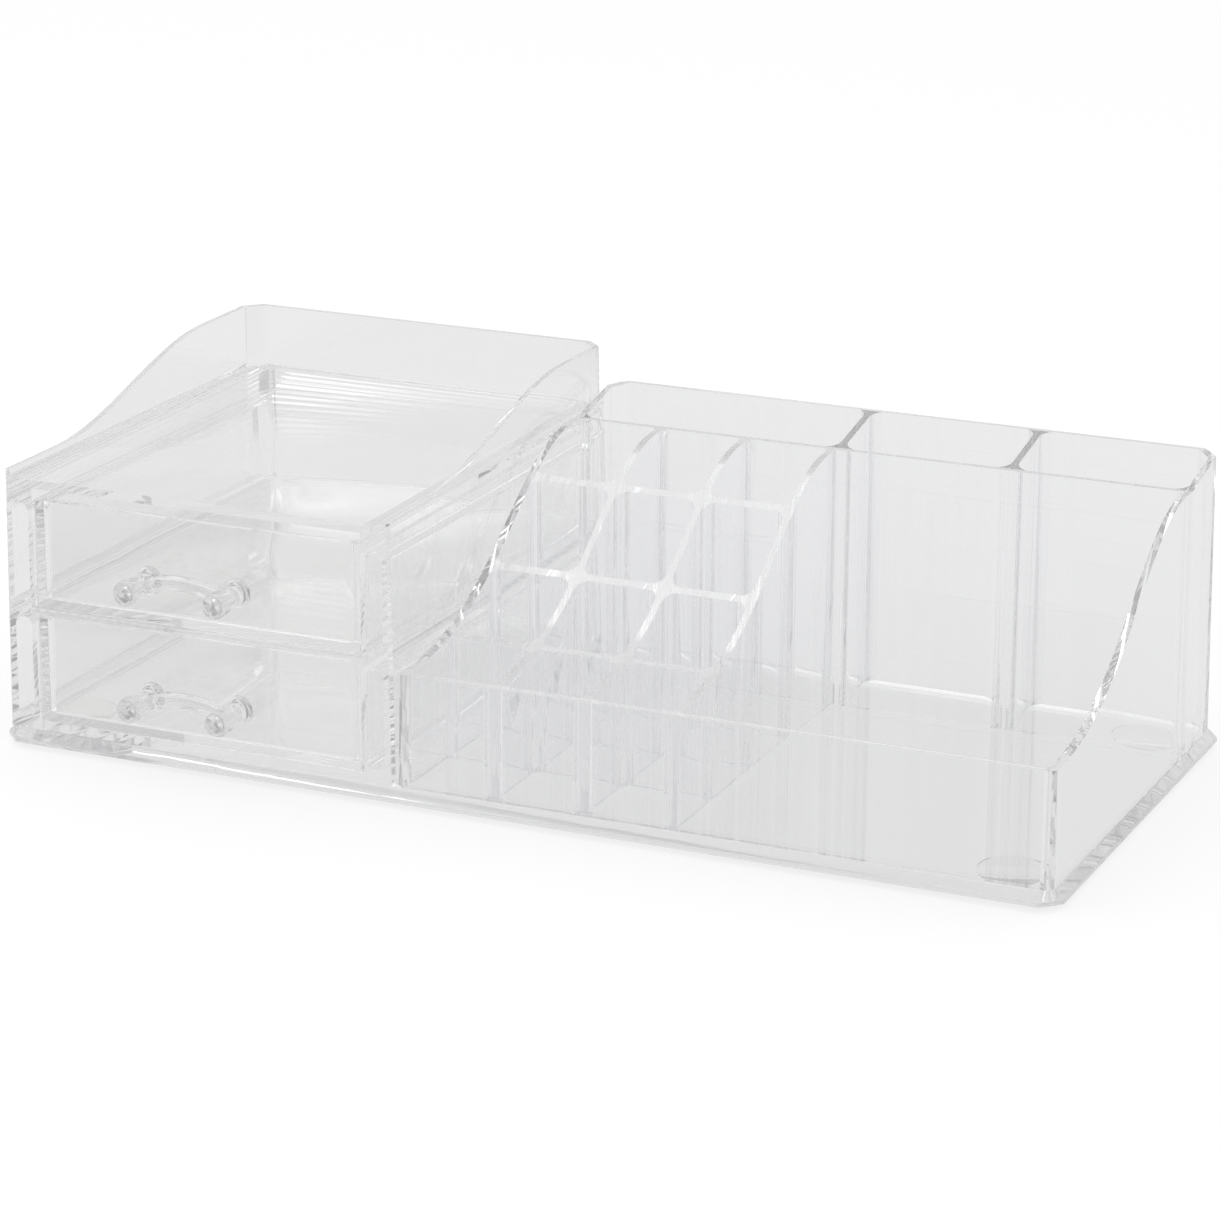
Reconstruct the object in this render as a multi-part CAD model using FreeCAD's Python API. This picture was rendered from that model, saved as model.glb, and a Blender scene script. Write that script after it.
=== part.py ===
"""Clear moulded vanity organizer: a two-drawer cabinet with a tray on top, beside an open caddy.

Millimetres, +Z up. The origin is on the surface that the feet stand on, in the middle of the whole
footprint with the pulls, and the drawers face -Y.
"""
import FreeCAD
import Part
import math
import os

Vector = FreeCAD.Vector

# Feet, round soft pads under the corners of the base
foot_radius = 11.0
foot_height = 2.0
foot_chamfer = 0.8
foot_inset = 22.0  # from the base's edges to each foot's axis

# Base plate
base_width = 380.0
base_depth = 180.0
base_height = 5.0
base_edge = 1.5  # upright edge below the bevel
base_corner = 6.4  # clipped corners
skirt = 3.0  # how far the base runs out past the walls

# What all the mouldings share
draft_share = 0.014  # lean of the outer faces, per unit of height
wall_foot = 3.7  # outer walls at the base, thinner higher up
rear_clip = 6.0  # clipped upright corners at the back
rear_clip_step = 1.0  # how much smaller the clip is inside
module_gap = 0.5  # between the cabinet and the caddy
overrun = 2.0  # how far cutting tools run past the stock
straight_share = 0.999  # of an upright edge's length that is height

# Cabinet, stacked up from its floor, the two drawers and the tray
cabinet_width = 147.0
cabinet_floor = 3.3
cabinet_front_clip = 1.0  # clipped upright corners at the front
upper_head_room = 3.9  # above the upper drawer
tray_floor = 3.0
tray_cove = 2.0
tray_lip = 2.5  # side walls above the tray floor at the front
gallery_height = 22.5  # back wall above the tray floor
ogee_start = 32.0  # behind the front edge
ogee_length = 105.0
ogee_front_share = 0.36  # how far the S-curve stays level at its front
ogee_back_share = 0.36

# Drawer guides of the cabinet
channel_width = 6.2
channel_bottom = 1.7  # above the floor or the shelf
channel_head = 1.5  # below the shelf
channel_top_drop = 5.5  # below the tray floor's underside
channel_foot_round = 1.2
channel_arch_share = 0.48  # radius of the arched top, per unit of width
guide_wall = 1.8
bay_round = 3.0
shelf_thickness = 2.5
shelf_groove = 2.0

# Drawers
drawer_height = 37.3
drawer_wall = 2.0
drawer_front = 3.0
drawer_floor = 2.0
drawer_side_gap = 0.4
drawer_under_gap = 0.3
drawer_over_gap = 0.6  # between the lower drawer and the shelf
drawer_back_gap = 4.0
drawer_back_round = 6.0
drawer_front_round = 1.2
drawer_inside_round = 4.0
drawer_cove = 1.8

# Bow pulls
pull_spacing = 33.3
pull_height = 15.0  # post axis above the drawer's underside
post_length = 18.5
post_collar_radius = 5.0
post_collar = 1.2
post_neck_radius = 3.3
post_neck_start = 4.5
post_neck_end = 8.0
post_head_start = 12.5
post_head_radius = 4.4
post_head_chamfer = 1.2
post_sides = 24
spigot_radius = 2.4
spigot_gap = 0.1
bar_stand = 10.0  # bar axis in front of the drawer
bar_rise = 3.8
bar_mid_height = 5.0
bar_mid_depth = 4.4
bar_end_height = 6.2
bar_end_depth = 5.6
bar_sections = 11
bar_sides = 16

# Caddy, with heights above the base
caddy_front_rise = 39.0
partition_rise = 92.0
caddy_back_rise = 98.0
caddy_front_clip = 2.0  # clipped upright corners at the front
caddy_front_clip_inside = 1.0
divider = 2.5
rear_compartment_depth = 29.4
rear_left_share = 0.4336  # of the width inside
rear_middle_share = 0.2707
compartment_round = 5.0
front_level = 6.0  # level top at the front wall before the S-curve
back_level = 5.0  # level top in front of the partition
slope_front_share = 0.51  # how far the sloping sides stay low behind the front
slope_back_share = 0.33
lipstick_columns = 3
lipstick_rows = 4
lipstick_cell_width = 29.5
lipstick_row_share = 0.2227  # of the depth in front of the partition; the last row takes the rest
cell_round = 4.0
foot_edge = 0.4  # rounded feet of the dividers end this thick

# Places that follow from the sizes
base_top = foot_height + base_height
pull_reach = post_length - skirt  # how far the pulls stand out past the base
base_front = (pull_reach - base_depth) / 2
base_back = (pull_reach + base_depth) / 2
front_face = base_front + skirt
back_face = base_back - skirt
back_inside = back_face - wall_foot
cabinet_left = skirt - base_width / 2
cabinet_right = cabinet_left + cabinet_width
cabinet_middle = (cabinet_left + cabinet_right) / 2
caddy_left = cabinet_right + module_gap
caddy_right = base_width / 2 - skirt
bay_half = cabinet_width / 2 - wall_foot - channel_width - guide_wall
drawer_half = bay_half - drawer_side_gap
rear_clip_inside = rear_clip - rear_clip_step
lower_bay_floor = base_top + cabinet_floor
drawer_room = drawer_under_gap + drawer_height
shelf_bottom = lower_bay_floor + drawer_room + drawer_over_gap
shelf_top = shelf_bottom + shelf_thickness
tray_bottom = shelf_top + drawer_room + upper_head_room
tray_top = tray_bottom + tray_floor
cabinet_front_top = tray_top + tray_lip
cabinet_back_top = tray_top + gallery_height
drawer_back = back_inside - drawer_back_gap
inside_left = caddy_left + wall_foot
inside_right = caddy_right - wall_foot
inside_front = front_face + wall_foot
partition_back = back_inside - rear_compartment_depth
partition_front = partition_back - divider
rear_left_width = rear_left_share * (inside_right - inside_left)
rear_middle_width = rear_middle_share * (inside_right - inside_left)
lipstick_cell_depth = lipstick_row_share * (partition_front - inside_front)
cell_pitch = lipstick_cell_width + divider
rack_right = inside_left + lipstick_columns * cell_pitch


def clipped_points(x0, x1, y0, y1, z, front, rear):
    """Corners of a rectangle whose front and rear corners are clipped at 45 degrees."""
    spots = [(x0 + front, y0), (x1 - front, y0), (x1, y0 + front), (x1, y1 - rear),
             (x1 - rear, y1), (x0 + rear, y1), (x0, y1 - rear), (x0, y0 + front)]
    points = []
    for x, y in spots:
        point = Vector(x, y, z)
        if not points or (point - points[-1]).Length > 0:
            points.append(point)
    return points


def closed_wire(points):
    return Part.makePolygon(points + points[:1])


def prism(points, height):
    return Part.Face(closed_wire(points)).extrude(Vector(0, 0, height))


def box_between(x0, x1, y0, y1, z0, z1):
    return Part.makeBox(x1 - x0, y1 - y0, z1 - z0, Vector(x0, y0, z0))


def upright_edges(solid):
    return [edge for edge in solid.Edges if edge.BoundBox.ZLength > straight_share * edge.Length]


def rounded_box(x0, x1, y0, y1, z0, z1, radius):
    """A box whose four upright edges are rounded."""
    solid = box_between(x0, x1, y0, y1, z0, z1)
    return solid.makeFillet(radius, upright_edges(solid))


def leaning_block(x0, x1, y0, y1, rise, front, rear, front_leans):
    """A block on the base whose outer faces lean inwards with the moulding draft."""
    lean = draft_share * rise
    front_lean = lean if front_leans else 0
    foot = clipped_points(x0, x1, y0, y1, base_top, front, rear)
    head = clipped_points(x0 + lean, x1 - lean, y0 + front_lean, y1 - lean, base_top + rise, front, rear)
    return Part.makeLoft([closed_wire(foot), closed_wire(head)], True, True)


def line(y0, z0, y1, z1, x):
    return Part.makeLine(Vector(x, y0, z0), Vector(x, y1, z1))


def s_curve(y0, z0, y1, z1, x, front_share, back_share):
    """An S-curve in the side view, level at both ends."""
    length = y1 - y0
    curve = Part.BezierCurve()
    curve.setPoles([Vector(x, y0, z0), Vector(x, y0 + front_share * length, z0),
                    Vector(x, y1 - back_share * length, z1), Vector(x, y1, z1)])
    return curve.toShape()


def waste_above(edges, x0, x1, top):
    """Everything above a side-view outline, from x0 to x1, to be cut away."""
    start = edges[0].Vertexes[0].Point
    end = edges[-1].Vertexes[-1].Point
    x = start.x
    edges = edges + [line(end.y, end.z, end.y, top, x), line(end.y, top, start.y, top, x),
                     line(start.y, top, start.y, start.z, x)]
    face = Part.Face(Part.Wire(Part.sortEdges(edges)[0]))
    return face.extrude(Vector(x1 - x0, 0, 0))


def cabinet_waste():
    """What the S-curved rim of the cabinet leaves above it."""
    x0 = cabinet_left - overrun
    start = front_face + ogee_start
    end = start + ogee_length
    edges = [line(front_face - overrun, cabinet_front_top, start, cabinet_front_top, x0),
             s_curve(start, cabinet_front_top, end, cabinet_back_top, x0, ogee_front_share, ogee_back_share),
             line(end, cabinet_back_top, back_face + overrun, cabinet_back_top, x0)]
    return waste_above(edges, x0, cabinet_right + overrun, cabinet_back_top + overrun)


def caddy_waste():
    """What the S-curved sides and the sloping dividers of the caddy leave above them."""
    x0 = caddy_left - overrun
    front_top = base_top + caddy_front_rise
    partition_top = base_top + partition_rise
    back_top = base_top + caddy_back_rise
    start = front_face + front_level
    end = partition_front - back_level
    edges = [line(front_face - overrun, front_top, start, front_top, x0),
             s_curve(start, front_top, end, partition_top, x0, slope_front_share, slope_back_share),
             line(end, partition_top, partition_back, partition_top, x0),
             line(partition_back, partition_top, back_inside, back_top, x0),
             line(back_inside, back_top, back_face + overrun, back_top, x0)]
    return waste_above(edges, x0, caddy_right + overrun, back_top + overrun)


def foot(x, y):
    """One round pad under a corner of the base, chamfered at its lower edge."""
    pad = Part.makeCylinder(foot_radius, foot_height, Vector(x, y, 0))
    lower_edge = [edge for edge in pad.Edges if edge.BoundBox.ZMax < foot_height / 2]
    return pad.makeChamfer(foot_chamfer, lower_edge)


def base_plate():
    """The base, with a bevel that is as wide at the clipped corners as along the sides."""
    half_w = base_width / 2
    bevel_corner = base_corner - (2 - math.sqrt(2)) * skirt
    bevel_foot = foot_height + base_edge
    sole = clipped_points(-half_w, half_w, base_front, base_back, foot_height, base_corner, base_corner)
    brow = clipped_points(-half_w, half_w, base_front, base_back, bevel_foot, base_corner, base_corner)
    head = clipped_points(skirt - half_w, half_w - skirt, front_face, back_face, base_top,
                          bevel_corner, bevel_corner)
    bevel = Part.makeLoft([closed_wire(brow), closed_wire(head)], True, True)
    return prism(sole, base_edge).fuse(bevel).removeSplitter()


def tray_cavity():
    """The open tray on top of the cabinet, with a cove where its walls meet the floor."""
    x0 = cabinet_left + wall_foot
    x1 = cabinet_right - wall_foot
    points = clipped_points(x0, x1, front_face - wall_foot, back_inside, tray_top, 0, rear_clip_inside)
    cavity = prism(points, gallery_height + overrun)
    floor_edges = [edge for edge in cavity.Edges
                   if edge.BoundBox.ZMax < tray_top + tray_cove and edge.BoundBox.YMax > front_face]
    return cavity.makeFillet(tray_cove, floor_edges)


def channel(side, bottom, top):
    """One cored side channel beside a drawer, open to the front, with an arched top."""
    inner = bay_half + guide_wall
    x0, x1 = sorted((cabinet_middle + side * inner, cabinet_middle + side * (inner + channel_width)))
    core = box_between(x0, x1, front_face - overrun, back_inside, bottom, top)
    lengthwise = [edge for edge in core.Edges if edge.BoundBox.YLength > wall_foot]
    lower = [edge for edge in lengthwise if edge.BoundBox.ZMax < (bottom + top) / 2]
    core = core.makeFillet(channel_foot_round, lower)
    upper = [edge for edge in core.Edges
             if edge.BoundBox.YLength > wall_foot and edge.BoundBox.ZMin > (bottom + top) / 2]
    return core.makeFillet(channel_arch_share * channel_width, upper)


def cabinet_shell():
    solid = leaning_block(cabinet_left, cabinet_right, front_face, back_face, cabinet_back_top - base_top,
                          cabinet_front_clip, rear_clip, False)
    bay = box_between(cabinet_middle - bay_half, cabinet_middle + bay_half,
                      front_face - overrun, back_inside, lower_bay_floor, tray_bottom)
    rear_uprights = [edge for edge in upright_edges(bay) if edge.BoundBox.YMin > 0]
    cuts = [tray_cavity(), bay.makeFillet(bay_round, rear_uprights), shelf_plate(), cabinet_waste()]
    for side in (-1, 1):
        cuts.append(channel(side, lower_bay_floor + channel_bottom, shelf_bottom - channel_head))
        cuts.append(channel(side, shelf_top + channel_bottom, tray_bottom - channel_top_drop))
    return solid.cut(cuts).removeSplitter()


def shelf_plate():
    half = bay_half + shelf_groove
    return box_between(cabinet_middle - half, cabinet_middle + half, front_face, back_inside,
                       shelf_bottom, shelf_top)


def post_places():
    return [cabinet_middle + side * pull_spacing / 2 for side in (-1, 1)]


def drawer(bay_floor):
    bottom = bay_floor + drawer_under_gap
    x0 = cabinet_middle - drawer_half
    x1 = cabinet_middle + drawer_half
    body = box_between(x0, x1, front_face, drawer_back, bottom, bottom + drawer_height)
    rear = [edge for edge in upright_edges(body) if edge.BoundBox.YMin > 0]
    body = body.makeFillet(drawer_back_round, rear)
    front = [edge for edge in upright_edges(body) if edge.BoundBox.YMax < front_face + drawer_wall]
    body = body.makeFillet(drawer_front_round, front)
    hollow = rounded_box(x0 + drawer_wall, x1 - drawer_wall,
                         front_face + drawer_front, drawer_back - drawer_wall,
                         bottom + drawer_floor, bottom + drawer_height + overrun, drawer_inside_round)
    floor_edges = [edge for edge in hollow.Edges if edge.BoundBox.ZMax < bottom + drawer_floor + drawer_cove]
    body = body.cut(hollow.makeFillet(drawer_cove, floor_edges))
    for x in post_places():
        mouth = Vector(x, front_face - overrun, bottom + pull_height)
        depth = drawer_front + 2 * overrun
        body = body.cut(Part.makeCylinder(spigot_radius + spigot_gap, depth, mouth, Vector(0, 1, 0)))
    return body.removeSplitter()


def ring(centre, major, minor, sides):
    """Points round a centre, on the oval that the half-axes give."""
    points = []
    for step in range(sides):
        angle = 2 * math.pi * step / sides
        points.append(centre + major * math.cos(angle) + minor * math.sin(angle))
    return points


def facet(*corners):
    return Part.Face(closed_wire(list(corners)))


def facet_solid(rings):
    """A solid with flat facets from ring to ring; facets in one plane are joined."""
    faces = [facet(*rings[0]), facet(*rings[-1])]
    for near, far in zip(rings, rings[1:]):
        for a, b, c, d in zip(near, near[1:] + near[:1], far[1:] + far[:1], far):
            faces += [facet(a, b, c), facet(a, c, d)]
    return Part.Solid(Part.Shell(faces)).removeSplitter()


def turned(x, z, profile):
    """A turned shape on an axis that runs out from the drawer front, from radii and distances out."""
    rings = [ring(Vector(x, front_face - stand, z), Vector(0, 0, radius), Vector(radius, 0, 0), post_sides)
             for radius, stand in profile]
    return facet_solid(rings)


def post(x, z):
    """One post with its collar on the drawer front and its spigot inside the hole."""
    spigot = turned(x, z, [(spigot_radius, -drawer_front), (spigot_radius, post_collar)])
    return turned(x, z, [(post_collar_radius, 0), (post_collar_radius, post_collar),
                         (post_neck_radius, post_neck_start), (post_neck_radius, post_neck_end),
                         (post_head_radius, post_head_start),
                         (post_head_radius, post_length - post_head_chamfer),
                         (post_head_radius - post_head_chamfer, post_length)]).fuse(spigot)


def bow_bar(z):
    """The arched bar between the posts, slimmest in the middle."""
    half = pull_spacing / 2
    radius = (half ** 2 + bar_rise ** 2) / (2 * bar_rise)
    reach = math.asin(half / radius)
    sections = []
    for step in range(bar_sections):
        along_share = 2 * step / (bar_sections - 1) - 1
        angle = along_share * reach
        spread = along_share ** 2
        tall = bar_mid_height + (bar_end_height - bar_mid_height) * spread
        deep = bar_mid_depth + (bar_end_depth - bar_mid_depth) * spread
        centre = Vector(cabinet_middle + radius * math.sin(angle), front_face - bar_stand,
                        z + bar_rise - radius * (1 - math.cos(angle)))
        outward = Vector(math.sin(angle), 0, math.cos(angle))
        sections.append(ring(centre, outward * (tall / 2), Vector(0, deep / 2, 0), bar_sides))
    return facet_solid(sections)


def pull(bay_floor):
    z = bay_floor + drawer_under_gap + pull_height
    left, right = [post(x, z) for x in post_places()]
    return left.fuse([right, bow_bar(z)]).removeSplitter()


def caddy_shell():
    solid = leaning_block(caddy_left, caddy_right, front_face, back_face, caddy_back_rise,
                          caddy_front_clip, rear_clip, True)
    inside = clipped_points(inside_left, inside_right, inside_front, back_inside, base_top,
                            caddy_front_clip_inside, rear_clip_inside)
    return solid.cut([prism(inside, caddy_back_rise + overrun), caddy_waste()]).removeSplitter()


def largest_solid(shape):
    return max(shape.Solids, key=lambda solid: solid.Volume)


def lipstick_rack():
    """Egg-crate of cells; rounded corners leave feet where the dividers meet the caddy's walls."""
    block = box_between(inside_left, rack_right, inside_front, partition_front,
                        base_top, base_top + partition_rise)
    cells = []
    for column in range(lipstick_columns):
        x0 = inside_left + column * cell_pitch
        left = x0 - (foot_edge if column == 0 else 0)
        for row in range(lipstick_rows):
            y0 = inside_front + row * (lipstick_cell_depth + divider)
            front = y0 - (foot_edge if row == 0 else 0)
            last = row == lipstick_rows - 1
            back = partition_front + foot_edge if last else y0 + lipstick_cell_depth
            cells.append(rounded_box(left, x0 + lipstick_cell_width, front, back, base_top - overrun,
                                     base_top + partition_rise + overrun, cell_round))
    return largest_solid(block.cut(cells + [caddy_waste()]).removeSplitter())


def rear_partition():
    """Wall and dividers of the three tall compartments, with rounded feet on the caddy's walls."""
    block = box_between(inside_left, inside_right, partition_front, back_inside, base_top,
                        base_top + caddy_back_rise)
    first = inside_left + rear_left_width
    second = first + divider + rear_middle_width
    spans = [(inside_left - foot_edge, first), (first + divider, second),
             (second + divider, inside_right + foot_edge)]
    rooms = [rounded_box(x0, x1, partition_back, back_inside + foot_edge, base_top - overrun,
                         base_top + caddy_back_rise + overrun, compartment_round) for x0, x1 in spans]
    return largest_solid(block.cut(rooms + [caddy_waste()]).removeSplitter())


def build():
    foot_x = {"left": foot_inset - base_width / 2, "right": base_width / 2 - foot_inset}
    foot_y = {"front": base_front + foot_inset, "rear": base_back - foot_inset}
    bays = {"lower": lower_bay_floor, "upper": shelf_top}
    nodes = {"base_plate": base_plate(), "cabinet_shell": cabinet_shell(), "drawer_shelf": shelf_plate(),
             "caddy_shell": caddy_shell(), "lipstick_rack": lipstick_rack(),
             "rear_partition": rear_partition()}
    for end, y in foot_y.items():
        for side, x in foot_x.items():
            nodes[f"{end}_{side}_foot"] = foot(x, y)
    for name, floor in bays.items():
        nodes[name + "_drawer"] = drawer(floor)
        nodes[name + "_pull"] = pull(floor)
    os.makedirs("parts", exist_ok=True)
    for name, shape in nodes.items():
        print(name, "valid" if shape.isValid() else "not valid", len(shape.Solids), round(shape.Volume))
        shape.exportStep(f"parts/{name}.step")


build()
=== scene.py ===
import math
import bmesh
import bpy
from mathutils import Matrix, Vector


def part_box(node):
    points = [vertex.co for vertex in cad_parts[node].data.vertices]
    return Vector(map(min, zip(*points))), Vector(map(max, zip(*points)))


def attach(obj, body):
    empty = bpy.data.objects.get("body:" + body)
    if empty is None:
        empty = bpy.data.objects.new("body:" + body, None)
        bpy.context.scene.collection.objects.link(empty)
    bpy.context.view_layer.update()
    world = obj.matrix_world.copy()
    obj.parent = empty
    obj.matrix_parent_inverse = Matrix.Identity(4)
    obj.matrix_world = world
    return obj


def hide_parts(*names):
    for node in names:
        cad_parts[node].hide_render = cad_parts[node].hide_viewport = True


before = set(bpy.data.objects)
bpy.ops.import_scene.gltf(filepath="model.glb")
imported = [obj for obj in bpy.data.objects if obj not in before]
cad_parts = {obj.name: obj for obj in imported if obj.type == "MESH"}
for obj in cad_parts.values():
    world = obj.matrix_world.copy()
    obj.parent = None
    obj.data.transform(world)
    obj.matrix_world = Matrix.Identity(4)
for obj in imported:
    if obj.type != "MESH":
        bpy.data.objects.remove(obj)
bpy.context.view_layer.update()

MM = 0.001

# Camera, at the photograph's viewing angle: degrees, metres, and millimetres for the lens
AZIMUTH, ELEVATION, ROLL = 23.931, 17.646, 0.31
AIM = Vector((-0.00656, 0.01944, 0.04396))
DISTANCE = 1.47074
LENS, SENSOR = 126.33, 36.0
CLIP_NEAR, CLIP_FAR = 0.05, 60.0

# Studio cards: a ring of darker cards round the part, left out toward the backdrop
BACKDROP_WAY = (-0.38, 0.92, 0.0)
CARDS = 8
CARD_EDGE = (-0.1, 0.4)

# Floor: levels, share of light that a card takes, and soft steps in metres and in cosines
FLOOR_SIZE = 30.0
FLOOR_WHITE, FLOOR_PALE, FLOOR_CARD = 0.8, 0.745, 0.6
FLOOR_CARD_START, FLOOR_BACKDROP_EDGE = (0.45, 0.6), (0.92, 0.8)
FLOOR_GREY, FLOOR_SEEN_GREY, FLOOR_THROUGH_GREY = 0.8, 0.25, 0.12

# World: levels, share of light that a card takes, and soft steps in heights and cosines
STUDIO_LEVEL, FILL_LEVEL, WORLD_CARD = 0.81, 0.7, 0.5
WORLD_CARD_FOOT, WORLD_CARD_HEAD = (0.14, 0.24), (0.8, 0.62)
WORLD_BACKDROP_EDGE = (0.8, 0.6)
GLOW_WAY, GLOW_LEVEL, GLOW_EDGE = (-0.39, 0.25, 0.89), 1.1, (0.87, 0.98)
LAMP_PLACE, LAMP_SIZE, LAMP_POWER = Vector((-0.7, -0.55, 1.6)), 1.0, 8.0

# Clear plastic: tints, the grey of long ways inside it, and noises for waviness, tint and rub marks
STYRENE_IOR = 1.57
CABINET_TINT, CADDY_TINT = (0.9945, 0.9945, 0.9937), (0.9925, 0.9932, 0.9972)
BASE_TINT, PULL_TINT = (0.994, 0.995, 0.995), (0.972, 0.972, 0.972)
DEEP_SHARE = 0.992
PLASTIC_SHADOW = (0.96, 0.962, 0.965, 1.0)
DEPTH_TINT, DEPTH, PULL_DEPTH = (0.8, 0.8, 0.81, 1.0), 2.0, 25.0
FLOW_NOISE = {"Scale": 38.0, "Detail": 1.5}
CLOUD_NOISE = {"Scale": 14.0, "Detail": 3.0}
RUB_NOISE = {"Scale": 1.0, "Detail": 4.0}
RUB_STRETCH = (40.0, 900.0, 260.0)
RUB_RANGE = {"From Min": 0.45, "From Max": 0.8, "To Min": 0.004, "To Max": 0.025}
SEED_WAY = Vector((1.0, 0.7, 0.3))
WAVE, PULL_WAVE, WAVE_DEPTH = 0.02, 0.01, 0.6 * MM

# Soft pads
PAD_DARK, PAD_LIGHT = (0.982, 0.979, 0.966, 1.0), (0.996, 0.993, 0.982, 1.0)
PAD_ROUGHNESS, PAD_IOR = 0.15, 1.06
PAD_SHADOW = (0.97, 0.97, 0.965, 1.0)
PAD_NOISE = {"Scale": 900.0, "Detail": 2.0}
PAD_GRAIN, PAD_GRAIN_DEPTH = 0.15, 0.1 * MM

# Edges of the mouldings
EDGE_ROUND, EDGE_SEGMENTS = 0.6 * MM, 2
EDGE_ANGLE, SMOOTH_ANGLE, FLAT_ANGLE = (math.radians(angle) for angle in (35, 30, 0.5))
SEAM = 0.03 * MM
WELD = 0.001 * MM

# Pulls: turned posts as radius and distance out from the drawer front in mm, and a bowed bar
POST_LENGTH, POST_COLLAR, PULL_SPACING = 18.5 * MM, 5.0 * MM, 33.3 * MM
POST_PROFILE = [(2.4, -3.0), (2.4, 0.06), (4.7, 0.06), (5.0, 0.35), (5.0, 0.9), (4.75, 1.3), (4.2, 2.0),
                (3.65, 3.1), (3.36, 4.4), (3.3, 5.8), (3.38, 7.4), (3.68, 9.2), (4.08, 11.0), (4.34, 12.8),
                (4.4, 14.6), (4.4, 16.7), (4.25, 17.5), (3.85, 18.15), (3.2, 18.5)]
POST_SIDES, BAR_SIDES, BAR_STEPS = 48, 32, 32
BAR_RISE, BAR_STAND = 3.8 * MM, 10.0 * MM
BAR_MID, BAR_END = (5.0 * MM, 4.4 * MM), (6.2 * MM, 5.6 * MM)
PULL_SMOOTH = math.radians(40)

# Light paths: many reflections inside the thin walls
BOUNCES, SHADOW_LAYERS = 256, 64


def node(tree, kind, inputs=None, **settings):
    made = tree.nodes.new(kind)
    for name, value in settings.items():
        setattr(made, name, value)
    for socket, value in (inputs or {}).items():
        if isinstance(value, bpy.types.NodeSocket):
            tree.links.new(value, made.inputs[socket])
        else:
            made.inputs[socket].default_value = value
    return made


def math_node(tree, operation, a, b=0.0):
    return node(tree, "ShaderNodeMath", {0: a, 1: b}, operation=operation).outputs[0]


def dot(tree, a, b):
    return node(tree, "ShaderNodeVectorMath", {0: a, 1: b}, operation="DOT_PRODUCT").outputs["Value"]


def ramp(tree, value, start, end):
    """0 before start and 1 after end, with a soft step between."""
    made = node(tree, "ShaderNodeMapRange", {"Value": value, "From Min": start, "From Max": end},
                interpolation_type="SMOOTHSTEP")
    return made.outputs[0]


def mix_colours(tree, factor, first, second):
    made = node(tree, "ShaderNodeMix", {"Factor": factor}, data_type="RGBA")
    made.inputs[6].default_value = first
    made.inputs[7].default_value = second
    return made.outputs[2]


def mix_levels(tree, factor, first, second):
    made = node(tree, "ShaderNodeMix", {"Factor": factor, "A": first, "B": second}, data_type="FLOAT")
    return made.outputs[0]


def fresh_tree(owner):
    owner.use_nodes = True
    owner.node_tree.nodes.clear()
    return owner.node_tree


def make_camera():
    az, el, roll = (math.radians(v) for v in (AZIMUTH, ELEVATION, ROLL))
    back = Vector((math.sin(az) * math.cos(el), -math.cos(az) * math.cos(el), math.sin(el)))
    level = Vector((math.cos(az), math.sin(az), 0.0))
    rise = back.cross(level)
    right = level * math.cos(roll) + rise * math.sin(roll)
    up = rise * math.cos(roll) - level * math.sin(roll)
    data = bpy.data.cameras.new("camera")
    data.lens, data.sensor_width, data.sensor_fit = LENS, SENSOR, "HORIZONTAL"
    data.clip_start, data.clip_end = CLIP_NEAR, CLIP_FAR
    camera = bpy.data.objects.new("camera", data)
    turn = Matrix((right, up, back)).transposed().to_4x4()
    camera.matrix_world = Matrix.Translation(AIM + back * DISTANCE) @ turn
    bpy.context.scene.collection.objects.link(camera)
    bpy.context.scene.camera = camera


def finish_material(tree, shader, shadow, depth):
    """The shader as seen, a pale clear shadow for the lamp, and grey along the way inside."""
    through = node(tree, "ShaderNodeBsdfTransparent", {"Color": shadow})
    path = node(tree, "ShaderNodeLightPath")
    mix = node(tree, "ShaderNodeMixShader", {0: path.outputs["Is Shadow Ray"], 1: shader.outputs[0],
                                             2: through.outputs[0]})
    inside = node(tree, "ShaderNodeVolumeAbsorption", {"Color": DEPTH_TINT, "Density": depth})
    node(tree, "ShaderNodeOutputMaterial", {"Surface": mix.outputs[0], "Volume": inside.outputs[0]})


def clear_plastic(name, tint, seed, wave=WAVE, depth=DEPTH):
    """Clear moulded styrene: faint tint, flow waviness and hairline rub marks."""
    material = bpy.data.materials.new(name)
    tree = fresh_tree(material)
    place = node(tree, "ShaderNodeTexCoord").outputs["Object"]
    shifted = node(tree, "ShaderNodeMapping", {"Vector": place, "Location": seed * SEED_WAY}).outputs[0]
    flow = node(tree, "ShaderNodeTexNoise", {"Vector": shifted, **FLOW_NOISE})
    cloud = node(tree, "ShaderNodeTexNoise", {"Vector": shifted, **CLOUD_NOISE})
    stretched = node(tree, "ShaderNodeMapping", {"Vector": shifted, "Scale": RUB_STRETCH})
    rub = node(tree, "ShaderNodeTexNoise", {"Vector": stretched.outputs[0], **RUB_NOISE})
    rough = node(tree, "ShaderNodeMapRange", {"Value": rub.outputs["Fac"], **RUB_RANGE})
    deep = tuple(c * DEEP_SHARE for c in tint)
    colour = mix_colours(tree, cloud.outputs["Fac"], (*deep, 1.0), (*tint, 1.0))
    bump = node(tree, "ShaderNodeBump", {"Height": flow.outputs["Fac"], "Strength": wave,
                                         "Distance": WAVE_DEPTH})
    shader = node(tree, "ShaderNodeBsdfPrincipled", {
        "Base Color": colour, "Roughness": rough.outputs[0], "IOR": STYRENE_IOR,
        "Transmission Weight": 1.0, "Normal": bump.outputs[0]})
    finish_material(tree, shader, PLASTIC_SHADOW, depth)
    return material


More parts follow.
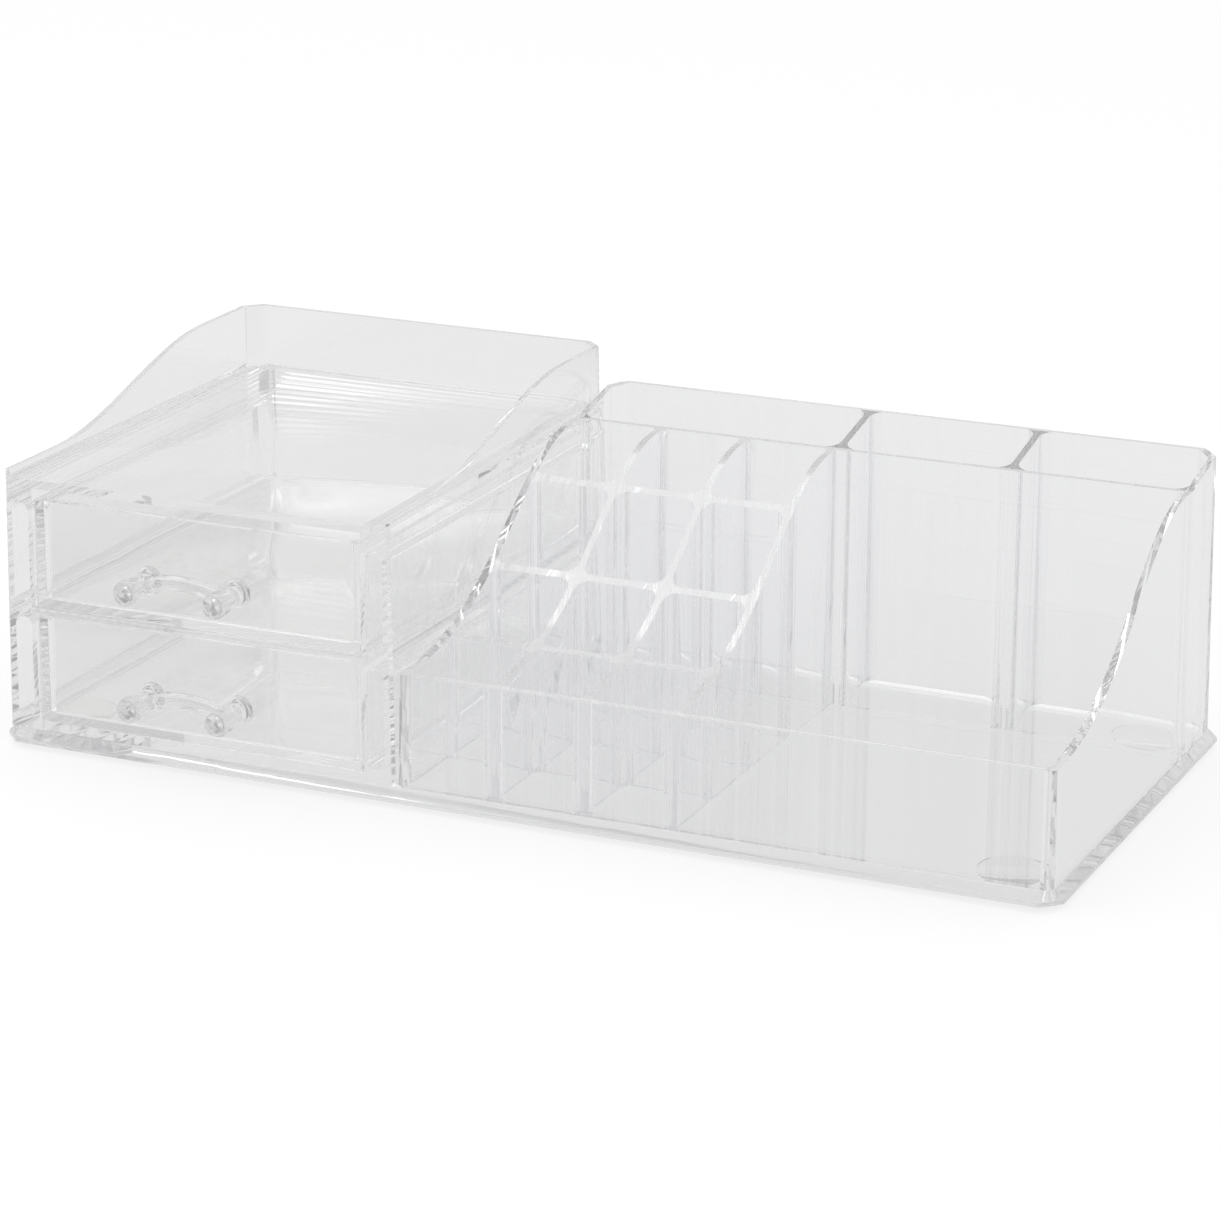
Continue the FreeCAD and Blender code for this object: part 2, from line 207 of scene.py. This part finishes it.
def soft_pad(name):
    """Milky clear, finely grained pads that stand under the base."""
    material = bpy.data.materials.new(name)
    tree = fresh_tree(material)
    place = node(tree, "ShaderNodeTexCoord").outputs["Object"]
    grain = node(tree, "ShaderNodeTexNoise", {"Vector": place, **PAD_NOISE}).outputs["Fac"]
    colour = mix_colours(tree, grain, PAD_DARK, PAD_LIGHT)
    bump = node(tree, "ShaderNodeBump", {"Height": grain, "Strength": PAD_GRAIN, "Distance": PAD_GRAIN_DEPTH})
    shader = node(tree, "ShaderNodeBsdfPrincipled", {
        "Base Color": colour, "Roughness": PAD_ROUGHNESS, "IOR": PAD_IOR,
        "Transmission Weight": 1.0, "Normal": bump.outputs[0]})
    finish_material(tree, shader, PAD_SHADOW, DEPTH)
    return material


def dress(name, material, round_edges=True):
    """Gives a CAD node its finish, hairline seams to its neighbours and softly rounded edges."""
    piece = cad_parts[name]
    piece.data.materials.clear()
    piece.data.materials.append(material)
    if "custom_normal" in piece.data.attributes:
        piece.data.attributes.remove(piece.data.attributes["custom_normal"])
    piece.data.shade_smooth()
    piece.data.set_sharp_from_angle(angle=SMOOTH_ANGLE)
    weld = piece.modifiers.new("weld", "WELD")
    weld.merge_threshold = WELD
    seam = piece.modifiers.new("seam", "DISPLACE")
    seam.strength, seam.mid_level = -SEAM, 0.0
    if round_edges:
        flats = piece.modifiers.new("flats", "DECIMATE")
        flats.decimate_type, flats.angle_limit = "DISSOLVE", FLAT_ANGLE
        edge = piece.modifiers.new("edge", "BEVEL")
        edge.width, edge.segments, edge.limit_method = EDGE_ROUND, EDGE_SEGMENTS, "ANGLE"
        edge.angle_limit, edge.harden_normals = EDGE_ANGLE, True


def ring_mesh(name, rings):
    """A closed mesh through rings of points, with a flat cap at each end."""
    shape = bmesh.new()
    loops = [[shape.verts.new(point) for point in ring] for ring in rings]
    for near, far in zip(loops, loops[1:]):
        for k in range(len(near)):
            shape.faces.new((near[k - 1], near[k], far[k], far[k - 1]))
    shape.faces.new(loops[0])
    shape.faces.new(loops[-1])
    bmesh.ops.recalc_face_normals(shape, faces=shape.faces)
    mesh = bpy.data.meshes.new(name)
    shape.to_mesh(mesh)
    shape.free()
    made = bpy.data.objects.new(name, mesh)
    bpy.context.scene.collection.objects.link(made)
    return made


def oval_ring(centre, major, minor, sides):
    turns = (2 * math.pi * k / sides for k in range(sides))
    return [centre + major * math.cos(turn) + minor * math.sin(turn) for turn in turns]


def united(name, pieces):
    """One mesh from overlapping closed pieces."""
    first, others = pieces[0], pieces[1:]
    for other in others:
        join = first.modifiers.new("join", "BOOLEAN")
        join.operation, join.solver, join.object = "UNION", "EXACT", other
    graph = bpy.context.evaluated_depsgraph_get()
    mesh = bpy.data.meshes.new_from_object(first.evaluated_get(graph))
    for piece in pieces:
        bpy.data.objects.remove(piece)
    mesh.name = name
    made = bpy.data.objects.new(name, mesh)
    bpy.context.scene.collection.objects.link(made)
    return made


def make_post(foot):
    """A turned post that stands out to the front from its foot on the drawer."""
    rings = []
    for radius, stand in POST_PROFILE:
        centre = foot - Vector((0, stand * MM, 0))
        rings.append(oval_ring(centre, Vector((0, 0, radius * MM)), Vector((radius * MM, 0, 0)), POST_SIDES))
    return ring_mesh("post", rings)


def make_bow(middle):
    """An oval bar that bows up between the two posts' axes and thickens toward them."""
    half = PULL_SPACING / 2
    bend = (half ** 2 + BAR_RISE ** 2) / (2 * BAR_RISE)
    reach = math.asin(half / bend)
    rings = []
    for step in range(BAR_STEPS + 1):
        along = 2 * step / BAR_STEPS - 1
        angle = along * reach
        tall, deep = (mid + (end - mid) * along ** 2 for mid, end in zip(BAR_MID, BAR_END))
        centre = middle + Vector((bend * math.sin(angle), -BAR_STAND,
                                  BAR_RISE - bend * (1 - math.cos(angle))))
        outward = Vector((math.sin(angle), 0, math.cos(angle)))
        rings.append(oval_ring(centre, outward * tall / 2, Vector((0, deep / 2, 0)), BAR_SIDES))
    return ring_mesh("bow", rings)


def make_pull(level, material):
    """Smoothly turned posts and bow in place of the CAD pull, inside the same outline."""
    low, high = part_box(level + "_pull")
    middle = Vector(((low.x + high.x) / 2, low.y + POST_LENGTH, low.z + POST_COLLAR))
    aside = Vector((PULL_SPACING / 2, 0, 0))
    pieces = [make_post(middle - aside), make_bow(middle), make_post(middle + aside)]
    made = united(level + "_bow_pull", pieces)
    made.data.materials.clear()
    made.data.materials.append(material)
    made.data.shade_smooth()
    made.data.set_sharp_from_angle(angle=PULL_SMOOTH)
    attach(made, level + "_drawer_unit")
    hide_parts(level + "_pull")


def card_pattern(tree, place):
    """1 on the dark cards, which stand in a ring round the part, and 0 in the gaps."""
    x, y = node(tree, "ShaderNodeSeparateXYZ", {0: place}).outputs[:2]
    around = math_node(tree, "MULTIPLY", math_node(tree, "ARCTAN2", y, x), CARDS)
    wave = math_node(tree, "COSINE", math_node(tree, "ADD", around, math.pi))
    return ramp(tree, wave, *CARD_EDGE)


def less(tree, level, share):
    """A level with a share of it taken away."""
    return math_node(tree, "MULTIPLY", math_node(tree, "SUBTRACT", 1.0, share), level)


def through_plastic(path):
    """1 for light that is looked at in or through the clear plastic."""
    tree = path.id_data
    return math_node(tree, "MAXIMUM", path.outputs["Is Glossy Ray"], path.outputs["Is Transmission Ray"])


def floor_level(tree):
    """Pale level of the floor through the plastic, with the cards well away from the part."""
    place = node(tree, "ShaderNodeNewGeometry").outputs["Position"]
    far = node(tree, "ShaderNodeVectorMath", {0: place}, operation="LENGTH").outputs["Value"]
    behind = math_node(tree, "DIVIDE", dot(tree, place, BACKDROP_WAY), far)
    card = math_node(tree, "MULTIPLY", card_pattern(tree, place), ramp(tree, far, *FLOOR_CARD_START))
    card = math_node(tree, "MULTIPLY", card, ramp(tree, behind, *FLOOR_BACKDROP_EDGE))
    return less(tree, FLOOR_PALE, math_node(tree, "MULTIPLY", card, FLOOR_CARD))


def make_floor():
    """A pale floor, white to the camera and pale grey through the clear walls, that keeps the shadow."""
    bpy.ops.mesh.primitive_plane_add(size=FLOOR_SIZE)
    floor = bpy.context.object
    floor.name = "floor"
    material = bpy.data.materials.new("pale_floor")
    tree = fresh_tree(material)
    pale = floor_level(tree)
    path = node(tree, "ShaderNodeLightPath")
    shown = node(tree, "ShaderNodeBsdfDiffuse", {"Color": (FLOOR_GREY, FLOOR_GREY, FLOOR_GREY, 1.0)})
    for seen, grey, strength in ((through_plastic(path), FLOOR_THROUGH_GREY, pale),
                                 (path.outputs["Is Camera Ray"], FLOOR_SEEN_GREY, FLOOR_WHITE)):
        shade = node(tree, "ShaderNodeBsdfDiffuse", {"Color": (grey, grey, grey, 1.0)})
        glow = node(tree, "ShaderNodeEmission", {"Color": (1.0, 1.0, 1.0, 1.0), "Strength": strength})
        white = node(tree, "ShaderNodeAddShader", {0: shade.outputs[0], 1: glow.outputs[0]})
        shown = node(tree, "ShaderNodeMixShader", {0: seen, 1: shown.outputs[0], 2: white.outputs[0]})
    node(tree, "ShaderNodeOutputMaterial", {"Surface": shown.outputs[0]})
    floor.data.materials.append(material)


def studio_level(tree):
    """Level of the studio in the plastic: darker cards above the horizon and a brighter patch overhead."""
    way = node(tree, "ShaderNodeTexCoord").outputs["Generated"]
    height = node(tree, "ShaderNodeSeparateXYZ", {0: way}).outputs[2]
    behind = dot(tree, way, BACKDROP_WAY)
    card = card_pattern(tree, way)
    for value, step in ((height, WORLD_CARD_FOOT), (height, WORLD_CARD_HEAD), (behind, WORLD_BACKDROP_EDGE)):
        card = math_node(tree, "MULTIPLY", card, ramp(tree, value, *step))
    studio = less(tree, STUDIO_LEVEL, math_node(tree, "MULTIPLY", card, WORLD_CARD))
    toward = ramp(tree, dot(tree, way, GLOW_WAY), *GLOW_EDGE)
    return math_node(tree, "ADD", studio, math_node(tree, "MULTIPLY", toward, GLOW_LEVEL))


def make_world():
    """White to the camera, an even fill on the floor, and the studio's cards in the plastic."""
    world = bpy.data.worlds.new("studio")
    bpy.context.scene.world = world
    tree = fresh_tree(world)
    path = node(tree, "ShaderNodeLightPath")
    level = mix_levels(tree, through_plastic(path), FILL_LEVEL, studio_level(tree))
    level = mix_levels(tree, path.outputs["Is Camera Ray"], level, 1.0)
    shell = node(tree, "ShaderNodeBackground", {"Color": (1.0, 1.0, 1.0, 1.0), "Strength": level})
    node(tree, "ShaderNodeOutputWorld", {"Surface": shell.outputs[0]})


def make_lamp(name):
    """A soft lamp over the part that lights the floor and does not show in the plastic."""
    data = bpy.data.lights.new(name, "AREA")
    data.shape, data.size, data.energy = "SQUARE", LAMP_SIZE, LAMP_POWER
    lamp = bpy.data.objects.new(name, data)
    lamp.location = LAMP_PLACE
    lamp.rotation_euler = (-LAMP_PLACE).to_track_quat("-Z", "Y").to_euler()
    lamp.visible_camera = lamp.visible_glossy = lamp.visible_transmission = False
    bpy.context.scene.collection.objects.link(lamp)


make_camera()
make_floor()
make_world()
make_lamp("top_lamp")

cabinet = clear_plastic("cabinet_styrene", CABINET_TINT, seed=1.0)
caddy = clear_plastic("caddy_styrene", CADDY_TINT, seed=2.0)
drawer = clear_plastic("drawer_styrene", CABINET_TINT, seed=3.0)
base = clear_plastic("base_styrene", BASE_TINT, seed=4.0)
pull = clear_plastic("pull_styrene", PULL_TINT, seed=5.0, wave=PULL_WAVE, depth=PULL_DEPTH)
pad = soft_pad("pad_silicone")

for name in ("cabinet_shell", "drawer_shelf"):
    dress(name, cabinet)
for name in ("caddy_shell", "lipstick_rack", "rear_partition"):
    dress(name, caddy)
dress("base_plate", base)
for level in ("lower", "upper"):
    dress(level + "_drawer", drawer)
    make_pull(level, pull)
for end in ("front", "rear"):
    for side in ("left", "right"):
        dress(f"{end}_{side}_foot", pad, round_edges=False)

scene = bpy.context.scene
scene.view_settings.view_transform = "Standard"
scene.cycles.max_bounces = BOUNCES
scene.cycles.transmission_bounces = BOUNCES
scene.cycles.glossy_bounces = BOUNCES
scene.cycles.transparent_max_bounces = SHADOW_LAYERS
scene.cycles.caustics_reflective = False
scene.cycles.caustics_refractive = False
